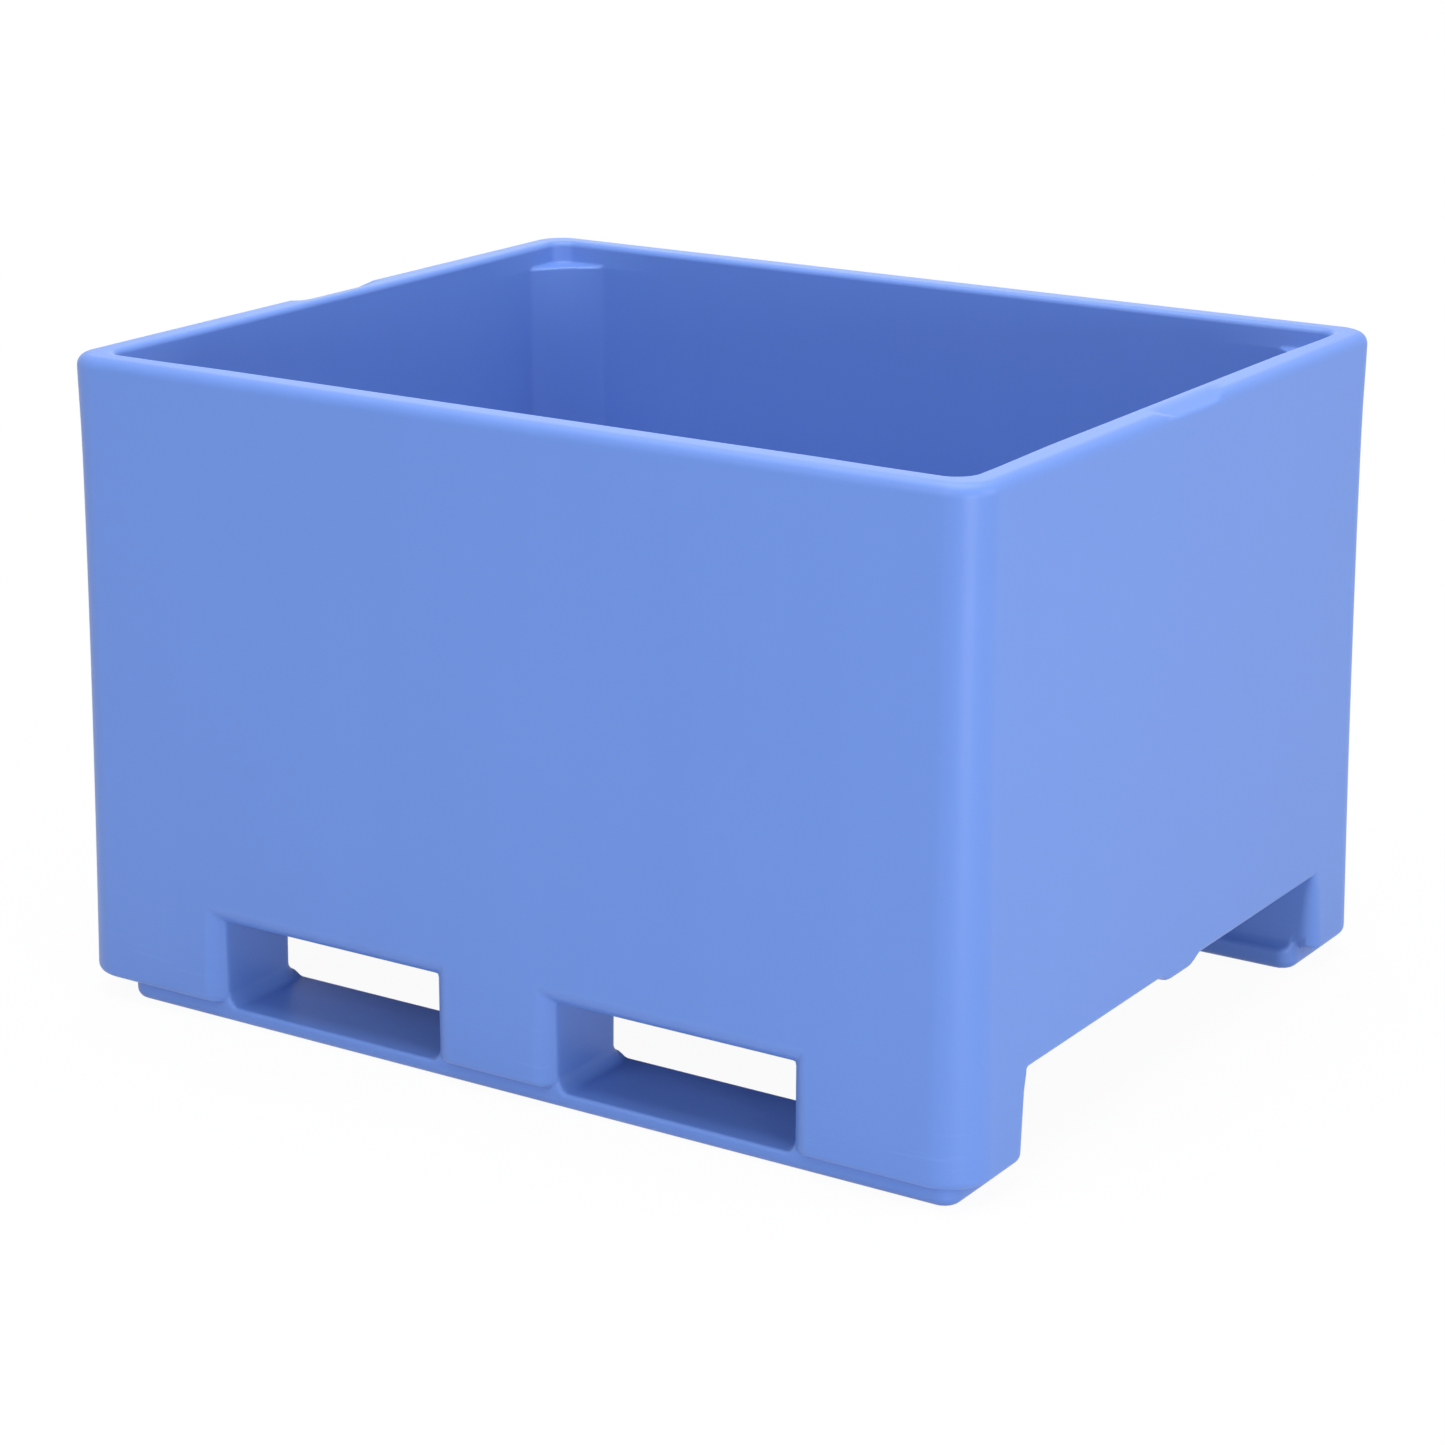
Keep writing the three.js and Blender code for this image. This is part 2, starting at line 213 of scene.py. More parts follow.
@dataclass
class InnerSpace:
    """Space inside the tub, with its four corner columns and the shelves on top of them."""

    outer: OuterWalls
    floor_top: float = 0.173
    wall: float = 0.040
    taper: float = 0.012
    corner_radius: float = 0.024
    floor_fillet: float = 0.032
    shelf_drop: float = 0.028
    shelf_leg: float = 0.068
    shelf_hollow: float = 0.005
    shelf_edge: float = 0.002
    column_fillet: float = 0.0025
    # Depth of the relief at the rim, and how far from a wall's ends it starts and is full.
    relief_depth: float = 0.003
    relief_start: float = 0.190
    relief_full: float = 0.040
    least_radius: float = 0.001

    def lean(self, z: np.ndarray) -> np.ndarray:
        """Gives the inward lean of the inner walls at each height."""
        height = self.outer.height
        return self.taper * (height - z) / (height - self.floor_top)

    def column(self, x: np.ndarray, y: np.ndarray, z: np.ndarray) -> np.ndarray:
        """Measures the columns that fill the inside corners, each with a hollow front.

        Args:
            x: Points' place along the tub.
            y: Points' place across the tub.
            z: Points' height.

        Returns:
            Roughly the signed distance to the columns, negative inside them.
        """
        lean = self.lean(z)
        in_x = self.outer.half_x - self.wall - lean - np.abs(x)
        in_y = self.outer.half_y - self.wall - lean - np.abs(y)
        half_chord = self.shelf_leg / math.sqrt(2.0)
        hollow = self.shelf_hollow
        radius = (half_chord * half_chord + hollow * hollow) / (2.0 * hollow)
        centre = (half_chord - hollow + radius) / math.sqrt(2.0)
        front = radius - np.hypot(in_x - centre, in_y - centre)
        front = np.where(in_x + in_y > 2.0 * self.shelf_leg, self.shelf_leg, front)
        return keep_both(front, z - (self.outer.height - self.shelf_drop), self.shelf_edge)

    def relief(self, along: np.ndarray, end: np.ndarray, z: np.ndarray) -> np.ndarray:
        """Gives how far a wall leans outwards above the shelves.

        Args:
            along: Points' place along the wall, from its middle.
            end: Where the wall ends at each point's height.
            z: Points' height.

        Returns:
            Nothing along most of the wall and below the shelves, and the most at the corners' rim.
        """
        shelf = self.outer.height - self.shelf_drop
        rise = np.clip((z - shelf) / self.shelf_drop, 0.0, 1.0)
        near = smooth_step(np.abs(along) - end, -self.relief_start, -self.relief_full)
        return self.relief_depth * rise * near

    def distance(self, x: np.ndarray, y: np.ndarray, z: np.ndarray) -> np.ndarray:
        """Measures the distance to the empty space, negative inside it.

        Args:
            x: Points' place along the tub.
            y: Points' place across the tub.
            z: Points' height.

        Returns:
            Signed distance, negative in the empty space.
        """
        lean = self.lean(z)
        half_x = self.outer.half_x - self.wall - lean
        half_y = self.outer.half_y - self.wall - lean
        wide_x = half_x + self.relief(y, half_y, z)
        wide_y = half_y + self.relief(x, half_x, z)
        radius = np.maximum(self.corner_radius - lean, self.least_radius)
        sides = rounded_plan(x, y, wide_x, wide_y, radius)
        space = keep_both(sides, self.floor_top - z, self.floor_fillet)
        return keep_both(space, -self.column(x, y, z), self.column_fillet)


@dataclass
class RimNotch:
    """Shallow recess in the rim of each short side that deepens towards the outside."""

    outer: OuterWalls
    wall: float = 0.040
    ridge_width: float = 0.016
    depth: float = 0.009
    ridge_half: float = 0.075
    floor_half: float = 0.050
    outer_half: float = 0.080
    edge: float = 0.002

    def distance(self, x: np.ndarray, y: np.ndarray, z: np.ndarray) -> np.ndarray:
        """Measures the distance to what the notches take away, negative inside it.

        Args:
            x: Points' place along the tub.
            y: Points' place across the tub.
            z: Points' height.

        Returns:
            Signed distance, negative in the recess.
        """
        ridge = self.outer.half_x - self.wall + self.ridge_width
        run = self.outer.half_x - ridge
        out = (np.abs(x) - ridge) / run
        fall = self.depth / run
        floor = (self.outer.height - self.depth * out - z) / math.hypot(1.0, fall)
        ramp = (self.outer_half - self.floor_half) / self.depth
        spread = self.outer_half - self.ridge_half
        reach = self.ridge_half + spread * out + ramp * (z - self.outer.height)
        side = (np.abs(y) - reach) / math.hypot(1.0, ramp)
        return keep_both(floor, side, self.edge)


@dataclass
class ForkBase:
    """Fork base: two rows of three legs, the passage between the rows and the fork pockets."""

    outer: OuterWalls
    underside: float = 0.125
    leg_depth: float = 0.132
    leg_draft: float = 0.002
    ceiling_round: float = 0.003
    leg_corner: float = 0.012
    keel_depth: float = 0.010
    keel_half: float = 0.052
    keel_flat: float = 0.022
    pocket_centre: float = 0.236
    pocket_half: float = 0.154
    pocket_floor: float = 0.020
    pocket_fillet: float = 0.014
    mouth_flare: float = 0.016
    mouth_rise: float = 0.016
    mouth_depth: float = 0.016
    mouth_softness: float = 0.002
    # Radii of the edges where the openings meet the outside.
    mouth_edge: float = 0.008
    arch_edge: float = 0.008
    leg_edge_top: float = 0.012
    leg_edge_foot: float = 0.024
    # From a short side inwards, the edges change from the legs' radius to the mouths' between these.
    edge_reach: tuple[float, float] = (0.030, 0.090)
    # From the underside down, they change from the arches' radius to the legs' between these.
    arch_reach: tuple[float, float] = (-0.004, 0.024)

    def mouth(self, y: np.ndarray) -> np.ndarray:
        """Gives how far a pocket has opened at each depth: 0 in the throat and 1 at the face."""
        throat = self.outer.half_y + self.outer.foot_spread - self.mouth_depth
        return soft_ramp(np.abs(y) - throat, self.mouth_softness) / self.mouth_depth

    def pocket_side(self, x: np.ndarray, y: np.ndarray) -> np.ndarray:
        """Measures the side walls of the pockets, negative between them."""
        half = self.pocket_half + self.mouth_flare * self.mouth(y)
        return np.abs(np.abs(x) - self.pocket_centre) - half

    def passage_side(self, y: np.ndarray, z: np.ndarray) -> np.ndarray:
        """Measures the drafted inner faces of the leg rows.

        Args:
            y: Points' place across the tub.
            z: Points' height.

        Returns:
            Signed distance to the faces, negative between the rows.
        """
        foot = self.outer.half_y + self.outer.foot_spread - self.leg_depth
        slope = self.leg_draft / (self.underside - self.outer.leg_bottom)
        half = foot - slope * (z - self.outer.leg_bottom)
        return (np.abs(y) - half) / math.hypot(1.0, slope)

    def ceiling(self, y: np.ndarray) -> np.ndarray:
        """Gives the height of the underside, with the keel and the rise at the pocket mouths."""
        keel = 1.0 - smooth_step(np.abs(y), self.keel_flat, self.keel_half)
        return self.underside - self.keel_depth * keel + self.mouth_rise * self.mouth(y)

    def open_plan(self, x: np.ndarray, y: np.ndarray, z: np.ndarray) -> np.ndarray:
        """Measures what lies between the legs, seen from above, negative there."""
        return keep_either(self.passage_side(y, z), self.pocket_side(x, y), self.leg_corner)

    def distance(self, x: np.ndarray, y: np.ndarray, z: np.ndarray) -> np.ndarray:
        """Measures the empty space under the tub, negative inside it."""
        return keep_both_mitred(self.open_plan(x, y, z), z - self.ceiling(y), self.ceiling_round)

    def edge_radius(self, x: np.ndarray, z: np.ndarray) -> np.ndarray:
        """Gives the radius of the edge between the outside and the openings.

        Args:
            x: Points' place along the tub.
            z: Points' height.

        Returns:
            A small radius at the pockets and the arches' tops, and a growing one down the legs.
        """
        drop = np.clip((self.underside - z) / (self.underside - self.outer.leg_bottom), 0.0, 1.0)
        leg = self.leg_edge_top + (self.leg_edge_foot - self.leg_edge_top) * drop
        below = smooth_step(self.underside - z, *self.arch_reach)
        arch = self.arch_edge + (leg - self.arch_edge) * below
        from_side = smooth_step(self.outer.half_x - np.abs(x), *self.edge_reach)
        return arch + (self.mouth_edge - arch) * from_side


@dataclass
class SkidPlates:
    """Plate under each row of legs, filleted into their side walls."""

    base: ForkBase
    left_inset: float = 0.066
    right_inset: float = 0.025
    front_inset: float = 0.014
    inner_reach: float = 0.011
    corner_radius: float = 0.022
    bottom_round: float = 0.012
    top_round: float = 0.004
    ledge_top: float = 0.026
    # From the pockets' side walls outwards, the top rises to the legs' ledge between these.
    ledge_reach: tuple[float, float] = (-0.008, 0.006)
    # The plates and shoes are cut off inside the legs, at this share of the underside's height.
    cut_share: float = 0.5

    def plan(self, x: np.ndarray, y: np.ndarray) -> np.ndarray:
        """Measures the outline of both plates.

        Args:
            x: Points' place along the tub.
            y: Points' place across the tub.

        Returns:
            Signed distance to the outline, negative inside.
        """
        outer = self.base.outer
        face = outer.half_y + outer.foot_spread
        far = face - self.front_inset
        near = face - self.base.leg_depth - self.inner_reach
        half_x = outer.half_x + outer.foot_spread - 0.5 * (self.left_inset + self.right_inset)
        from_x = x - 0.5 * (self.left_inset - self.right_inset)
        from_y = np.abs(y) - 0.5 * (far + near)
        return rounded_plan(from_x, from_y, half_x, 0.5 * (far - near), self.corner_radius)

    def distance(self, x: np.ndarray, y: np.ndarray, z: np.ndarray) -> np.ndarray:
        """Measures the plates and the shoes of the legs that stand on them.

        Args:
            x: Points' place along the tub.
            y: Points' place across the tub.
            z: Points' height.

        Returns:
            Signed distance, negative in the plates and shoes.
        """
        base = self.base
        outside_pocket = smooth_step(base.pocket_side(x, y), *self.ledge_reach)
        top = base.pocket_floor + (self.ledge_top - base.pocket_floor) * outside_pocket
        allowed = keep_either(-base.open_plan(x, y, z), z - top, base.pocket_fillet)
        plate = keep_both(self.plan(x, y), -z, self.bottom_round)
        plate = np.maximum(plate, z - base.underside * self.cut_share)
        return keep_both(plate, allowed, self.top_round)


@dataclass
class GridPlan:
    """Lines of the measuring grid: close together at rounds and fillets, wide on plain walls.

    Each pair is the end of a stretch and the widest spacing in it.
    """

    across: list[tuple[float, float]] = field(
        default_factory=lambda: [
            (0.054, 0.027), (0.100, 0.0042), (0.368, 0.030), (0.418, 0.0045),
            (0.475, 0.019), (0.552, 0.0056), (0.6135, 0.0041),
        ]
    )
    along: list[tuple[float, float]] = field(
        default_factory=lambda: [
            (0.014, 0.014), (0.060, 0.0077), (0.334, 0.028), (0.392, 0.0048),
            (0.424, 0.0058), (0.4985, 0.0041),
        ]
    )
    upward: list[tuple[float, float]] = field(
        default_factory=lambda: [
            (0.040, 0.0034), (0.100, 0.015), (0.148, 0.0040), (0.210, 0.0078),
            (0.738, 0.033), (0.757, 0.0038), (0.779, 0.0025),
        ]
    )
    lowest: float = -0.0035

    @staticmethod
    def lines(start: float, stretches: list[tuple[float, float]]) -> np.ndarray:
        """Lays out grid lines.

        Args:
            start: Place of the first line.
            stretches: End of each stretch and the widest spacing in it.

        Returns:
            The places of all lines, rising.
        """
        places = [start]
        for end, spacing in stretches:
            count = max(1, math.ceil((end - places[-1]) / spacing - ROUNDING))
            places.extend(np.linspace(places[-1], end, count + 1)[1:].tolist())
        return np.array(places)

    def mirrored(self, stretches: list[tuple[float, float]]) -> np.ndarray:
        """Lays out lines from the middle to both sides."""
        half = self.lines(0.0, stretches)
        return np.concatenate([-half[:0:-1], half])

    def axes(self) -> tuple[np.ndarray, np.ndarray, np.ndarray]:
        """Gives the grid's lines along X, Y and Z."""
        upward = self.lines(self.lowest, self.upward)
        return self.mirrored(self.across), self.mirrored(self.along), upward


class SurfaceNet:
    """Turns a signed distance into a closed quad mesh whose corners lie on the surface."""

    slope_reach: float = 1e-4
    settle_rounds: int = 6
    # Least squared slope that a corner's step is divided by, so that none is thrown too far.
    least_slope: float = 0.25
    # Points looked at around each corner, two along each of the three axes.
    neighbours: float = 6.0

    def __init__(self, form: "MouldedTub", plan: GridPlan) -> None:
        """Keeps the form to be meshed and the grid that it is measured on."""
        self.form = form
        self.axes = plan.axes()

    def field_values(self) -> np.ndarray:
        """Measures the form at each crossing of the grid."""
        x, y, z = np.meshgrid(*self.axes, indexing="ij")
        return self.form.distance(x.ravel(), y.ravel(), z.ravel()).reshape(x.shape)

    def crossings(self, values: np.ndarray, axis: int) -> tuple[np.ndarray, np.ndarray]:
        """Finds where the surface crosses the grid edges of one direction.

        Args:
            values: Signed distance at each grid crossing.
            axis: Direction of the edges.

        Returns:
            The edges' lower index triples and the crossing points.
        """
        low = np.take(values, range(values.shape[axis] - 1), axis)
        high = np.take(values, range(1, values.shape[axis]), axis)
        index = np.argwhere((low < 0.0) != (high < 0.0))
        at = tuple(index.T)
        share = low[at] / (low[at] - high[at])
        points = np.stack([self.axes[k][index[:, k]] for k in range(3)], axis=1)
        line = self.axes[axis]
        points[:, axis] += share * (line[index[:, axis] + 1] - line[index[:, axis]])
        return index, points

    def build(self) -> tuple[np.ndarray, np.ndarray]:
        """Builds the net.

        Returns:
            The corners and the quads of the mesh.
        """
        values = self.field_values()
        cells = tuple(n - 1 for n in values.shape)
        total = np.zeros((*cells, 3))
        count = np.zeros(cells, dtype=int)
        found = []
        for axis in range(3):
            index, points = self.crossings(values, axis)
            first, second = [k for k in range(3) if k != axis]
            ring = []
            for step_first, step_second in ((1, 1), (0, 1), (0, 0), (1, 0)):
                cell = index.copy()
                cell[:, first] -= step_first
                cell[:, second] -= step_second
                np.add.at(total, tuple(cell.T), points)
                np.add.at(count, tuple(cell.T), 1)
                ring.append(cell)
            rising = values[tuple(index.T)] < 0.0
            flip = rising if axis == 1 else ~rising
            found.append((ring, flip))
        used = count > 0
        number = np.full(cells, -1)
        number[used] = np.arange(used.sum())
        corners = total[used] / count[used][:, None]
        quads = []
        for ring, flip in found:
            loop = np.stack([number[tuple(cell.T)] for cell in ring], axis=1)
            quads.append(np.where(flip[:, None], loop[:, ::-1], loop))
        return self.settle(corners), np.concatenate(quads)

    def slope(self, points: np.ndarray) -> np.ndarray:
        """Gives the gradient of the signed distance.

        Args:
            points: Places to measure at, one in each row.

        Returns:
            The gradient at each point.
        """
        parts = []
        for axis in range(3):
            step = np.zeros(3)
            step[axis] = self.slope_reach
            ahead = self.form.distance(*(points + step).T)
            behind = self.form.distance(*(points - step).T)
            parts.append((ahead - behind) / (2.0 * self.slope_reach))
        return np.stack(parts, axis=1)

    def settle(self, points: np.ndarray) -> np.ndarray:
        """Moves each corner onto the surface, a little at a time.

        Args:
            points: The corners, one in each row.

        Returns:
            The settled corners.
        """
        for _ in range(self.settle_rounds):
            value = self.form.distance(*points.T)
            slope = self.slope(points)
            scale = np.maximum((slope * slope).sum(axis=1), self.least_slope)
            points = points - (value / scale)[:, None] * slope
        return points

    def bend(self, points: np.ndarray, reach: float) -> np.ndarray:
        """Measures how sharply the surface bends.

        Args:
            points: Places on the surface, one in each row.
            reach: How far around each point is looked.

        Returns:
            A number for each point: above zero on edges, and below zero in hollows.
        """
        around = np.zeros(len(points))
        for axis in range(3):
            step = np.zeros(3)
            step[axis] = reach
            around += self.form.distance(*(points + step).T)
            around += self.form.distance(*(points - step).T)
        centre = self.form.distance(*points.T)
        return (around - self.neighbours * centre) / reach


@dataclass(frozen=True)
class Noise:
    """Scale, detail and stretch of one noise texture in the tub's own coordinates."""

    scale: float
    detail: float
    stretch: Triple = (1.0, 1.0, 1.0)

    def add(self, tree: Tree) -> Socket:
        """Adds the texture to a shader tree.

        Args:
            tree: Tree that gets the nodes.

        Returns:
            The socket that gives the noise.
        """
        place = tree.nodes.new("ShaderNodeTexCoord")
        mapping = tree.nodes.new("ShaderNodeMapping")
        mapping.inputs["Scale"].default_value = self.stretch
        noise = tree.nodes.new("ShaderNodeTexNoise")
        noise.inputs["Scale"].default_value = self.scale
        noise.inputs["Detail"].default_value = self.detail
        tree.links.new(place.outputs["Object"], mapping.inputs["Vector"])
        tree.links.new(mapping.outputs["Vector"], noise.inputs["Vector"])
        return noise.outputs["Fac"]


def value_group(
    name: str, inputs: dict[str, float], output: str
) -> tuple[Tree, bpy.types.NodeOutputs, Socket]:
    """Starts a shader group of plain values.

    Args:
        name: Name of the group.
        inputs: Name and default of each input value.
        output: Name of the output value.

    Returns:
        The group, the sockets that give its inputs and the socket that takes its output.
    """
    tree = bpy.data.node_groups.new(name, "ShaderNodeTree")
    for label, default in inputs.items():
        socket = tree.interface.new_socket(label, in_out="INPUT", socket_type="NodeSocketFloat")
        socket.default_value = default
    tree.interface.new_socket(output, in_out="OUTPUT", socket_type="NodeSocketFloat")
    given = tree.nodes.new("NodeGroupInput")
    result = tree.nodes.new("NodeGroupOutput")
    return tree, given.outputs, result.inputs[output]


def place_group(tree: Tree, group: Tree, values: dict[str, float]) -> Socket:
    """Places a shader group in a material with the material's own values.

    Args:
        tree: Tree of the material.
        group: The group.
        values: Name and value of each of the group's inputs.

    Returns:
        The socket that gives the group's value.
    """
    node = tree.nodes.new("ShaderNodeGroup")
    node.node_tree = group
    for label, value in values.items():
        node.inputs[label].default_value = value
    return node.outputs[0]


def add_sum(tree: Tree, kind: Sum, first: Socket, second: Socket | float) -> Socket:
    """Adds one sum.

    Args:
        tree: Tree that gets the node.
        kind: Which sum it is.
        first: Socket of the first number.
        second: Socket of the second number, or the number.

    Returns:
        The socket that gives the result.
    """
    node = tree.nodes.new("ShaderNodeMath")
    node.operation = kind.value
    tree.links.new(first, node.inputs[0])
    if isinstance(second, Socket):
        tree.links.new(second, node.inputs[1])
    else:
        node.inputs[1].default_value = second
    return node.outputs["Value"]


def add_blend(tree: Tree, shares: list[tuple[Socket, Socket]]) -> Socket:
    """Adds up values, each taken by its own share.

    Args:
        tree: Tree that gets the nodes.
        shares: Each value with its share.

    Returns:
        The socket that gives the total.
    """
    parts = [add_sum(tree, Sum.MULTIPLY, value, share) for value, share in shares]
    return add_sum(tree, Sum.ADD, *parts)


def add_range(tree: Tree, value: Socket, limits: tuple[float, float]) -> Socket:
    """Stretches a value to 0 at the first limit and 1 at the second.

    Args:
        tree: Tree that gets the node.
        value: Socket of the value.
        limits: The two limits.

    Returns:
        The socket that gives the result.
    """
    node = tree.nodes.new("ShaderNodeMapRange")
    node.inputs["From Min"].default_value = limits[0]
    node.inputs["From Max"].default_value = limits[1]
    tree.links.new(value, node.inputs["Value"])
    return node.outputs["Result"]


def add_mix(tree: Tree, share: Socket, first: Socket | Triple, second: Triple) -> Socket:
    """Mixes two colours by a mask.

    Args:
        tree: Tree that gets the node.
        share: Socket of the mask.
        first: Colour where the mask is 0, or its socket.
        second: Colour where the mask is 1.

    Returns:
        The socket that gives the mixed colour.
    """
    node = tree.nodes.new("ShaderNodeMix")
    node.data_type = "RGBA"
    tree.links.new(share, node.inputs["Factor"])
    if isinstance(first, Socket):
        tree.links.new(first, node.inputs["A"])
    else:
        node.inputs["A"].default_value = (*first, 1.0)
    node.inputs["B"].default_value = (*second, 1.0)
    return node.outputs["Result"]


@dataclass(frozen=True)
class PolyethyleneFinish:
    """Satin, through-coloured polyethylene with a faint orange peel, light handling marks and
    painted edge highlights.
    """

    colour: Triple = (0.115, 0.219, 0.575)
    # Paler colour of worn edges and scuffs; on the convex edges it is partly a painted highlight.
    pale: Triple = (0.155, 0.275, 0.640)
    deep: Triple = (0.102, 0.201, 0.545)
    roughness: float = 0.42
    roughness_swing: float = 0.07
    reflection: float = 0.35
    grain_depth: float = 0.00025
    grain_strength: float = 0.5
    fine_share: float = 0.4
    peel_share: float = 0.6
    cloud_share: float = 0.6
    streak_share: float = 0.4
    edge_share: float = 0.35
    scuff_share: float = 0.30
    fine: Noise = Noise(520.0, 1.0)
    peel: Noise = Noise(95.0, 2.0)
    cloud: Noise = Noise(3.2, 3.0)
    streak: Noise = Noise(16.0, 2.0, (1.0, 1.0, 0.08))
    broken: Noise = Noise(22.0, 4.0)
    scuff_lines: Noise = Noise(30.0, 3.0, (0.5, 0.5, 7.0))
    # Scuffs fade in from the first height down to the second, where their noise passes the limits.
    scuff_heights: tuple[float, float] = (0.16, 0.0)
    scuff_limits: tuple[float, float] = (0.60, 0.72)

    def grain_group(self) -> Tree:
        """Builds the fine orange peel of a moulded skin, as a height.

        Returns:
            The shader group.
        """
        inputs = {"Fine": self.fine_share, "Peel": self.peel_share}
        tree, given, result = value_group("moulded_grain", inputs, "Height")
        shares = [(self.fine.add(tree), given["Fine"]), (self.peel.add(tree), given["Peel"])]
        tree.links.new(add_blend(tree, shares), result)
        return tree

    def mottle_group(self) -> Tree:
        """Builds the slow unevenness of the colour, partly drawn out upward, as a mask.

        Returns:
            The shader group.
        """
        inputs = {"Cloud": self.cloud_share, "Streak": self.streak_share}
        tree, given, result = value_group("colour_mottle", inputs, "Mask")
        shares = [(self.cloud.add(tree), given["Cloud"]), (self.streak.add(tree), given["Streak"])]
        tree.links.new(add_blend(tree, shares), result)
        return tree

    def wear_and_highlight_group(self) -> Tree:
        """Builds paler edges, partly worn, partly painted highlight, and faint scuffs low on the
        legs, as a mask.

        Returns:
            The shader group.
        """
        inputs = {"Edges": self.edge_share, "Scuffs": self.scuff_share}
        tree, given, result = value_group("handling_wear_and_edge_highlight", inputs, "Mask")
        # Convex edges are painted paler, partly as worn plastic and partly as a painted highlight.
        edge = tree.nodes.new("ShaderNodeAttribute")
        edge.attribute_name = EDGE_BEND
        rubbed_and_highlit = add_sum(tree, Sum.MULTIPLY, edge.outputs["Fac"], self.broken.add(tree))
        place = tree.nodes.new("ShaderNodeTexCoord")
        parts = tree.nodes.new("ShaderNodeSeparateXYZ")
        tree.links.new(place.outputs["Object"], parts.inputs["Vector"])
        low = add_range(tree, parts.outputs["Z"], self.scuff_heights)
        lines = add_range(tree, self.scuff_lines.add(tree), self.scuff_limits)
        scuffed = add_sum(tree, Sum.MULTIPLY, low, lines)
        shares = [(rubbed_and_highlit, given["Edges"]), (scuffed, given["Scuffs"])]
        tree.links.new(add_blend(tree, shares), result)
        return tree

    def build(self) -> bpy.types.Material:
        """Builds the material of the moulded shell.

        Returns:
            The material.
        """
        material = bpy.data.materials.new("moulded_polyethylene")
        material.use_nodes = True
        tree = material.node_tree
        shader = tree.nodes["Principled BSDF"]
        shader.inputs["Metallic"].default_value = 0.0
        shader.inputs["Specular IOR Level"].default_value = self.reflection
        clouds = {"Cloud": self.cloud_share, "Streak": self.streak_share}
        marks = {"Edges": self.edge_share, "Scuffs": self.scuff_share}
        skin = {"Fine": self.fine_share, "Peel": self.peel_share}
        mottle = place_group(tree, self.mottle_group(), clouds)
        wear_and_highlight = place_group(tree, self.wear_and_highlight_group(), marks)
        grain = place_group(tree, self.grain_group(), skin)
        cloudy = add_mix(tree, mottle, self.deep, self.colour)
        # Paler on worn edges and scuffs; on the edges this is partly a painted highlight.
        tree.links.new(add_mix(tree, wear_and_highlight, cloudy, self.pale), shader.inputs["Base Color"])
        swing = add_sum(tree, Sum.MULTIPLY, mottle, self.roughness_swing)
        dull = add_sum(tree, Sum.MULTIPLY, wear_and_highlight, self.roughness_swing)
        rough = add_sum(tree, Sum.ADD, swing, dull)
        rough = add_sum(tree, Sum.ADD, rough, self.roughness - 0.5 * self.roughness_swing)
        tree.links.new(rough, shader.inputs["Roughness"])
        bump = tree.nodes.new("ShaderNodeBump")
        bump.inputs["Strength"].default_value = self.grain_strength
        bump.inputs["Distance"].default_value = self.grain_depth
        tree.links.new(grain, bump.inputs["Height"])
        tree.links.new(bump.outputs["Normal"], shader.inputs["Normal"])
        return material


@dataclass
class MouldedTub:
    """The whole tub as one moulding: its form, its mesh and its finish."""

    finish: PolyethyleneFinish
    rim_inner_round: float = 0.007
    bend_reach: float = 0.004
    walls: OuterWalls = field(init=False)
    space: InnerSpace = field(init=False)
    notch: RimNotch = field(init=False)
    base: ForkBase = field(init=False)
    skids: SkidPlates = field(init=False)

    def __post_init__(self) -> None:
        """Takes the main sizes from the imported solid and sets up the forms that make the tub."""
        low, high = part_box(CadName.NODE.value)
        walls = OuterWalls(half_x=high.x, half_y=high.y, height=high.z)
        widest = float(walls.swell(np.array(walls.leg_bottom + walls.leg_round)))
        walls.half_x = high.x - widest
        walls.half_y = high.y - widest
        self.walls = walls
        self.space = InnerSpace(walls)
        self.notch = RimNotch(walls)
        self.base = ForkBase(walls)
        self.skids = SkidPlates(self.base)

    def distance(self, x: np.ndarray, y: np.ndarray, z: np.ndarray) -> np.ndarray:
        """Measures the distance to the moulding, negative in the plastic.

        Args:
            x: Points' place along the tub.
            y: Points' place across the tub.
            z: Points' height.

        Returns:
            Signed distance, negative in the plastic.
        """
        edge = self.base.edge_radius(x, z)
        block = keep_both(self.walls.distance(x, y, z), -self.base.distance(x, y, z), edge)
        block = np.minimum(block, self.skids.distance(x, y, z))
        block = keep_both(block, -self.space.distance(x, y, z), self.rim_inner_round)
        return keep_both(block, -self.notch.distance(x, y, z), self.notch.edge)

    def build(self) -> bpy.types.Object:
        """Builds the tub's mesh and dresses it.

        Returns:
            The finished piece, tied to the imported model.
        """
        net = SurfaceNet(self, GridPlan())
        corners, quads = net.build()
        mesh = bpy.data.meshes.new("moulded_tub")
        mesh.from_pydata(corners.tolist(), [], quads.tolist())
        mesh.validate()
        mesh.update()
        normals = net.slope(corners)
        normals /= np.linalg.norm(normals, axis=1)[:, None]
        mesh.shade_smooth()
        mesh.normals_split_custom_set_from_vertices(normals.tolist())
        # The bend marks convex edges, which the finish paints paler, partly as a painted highlight.
        bend = np.clip(net.bend(corners, self.bend_reach), 0.0, 1.0)
        layer = mesh.attributes.new(EDGE_BEND, "FLOAT", "POINT")
        layer.data.foreach_set("value", bend.astype(np.float32))
        mesh.materials.append(self.finish.build())
        piece = bpy.data.objects.new("moulded_tub", mesh)
        bpy.context.scene.collection.objects.link(piece)
        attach(piece, CadName.BODY.value)
        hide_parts(CadName.NODE.value)
        LOG.info("moulded_tub: %d corners, %d quads", len(corners), len(quads))
        return piece


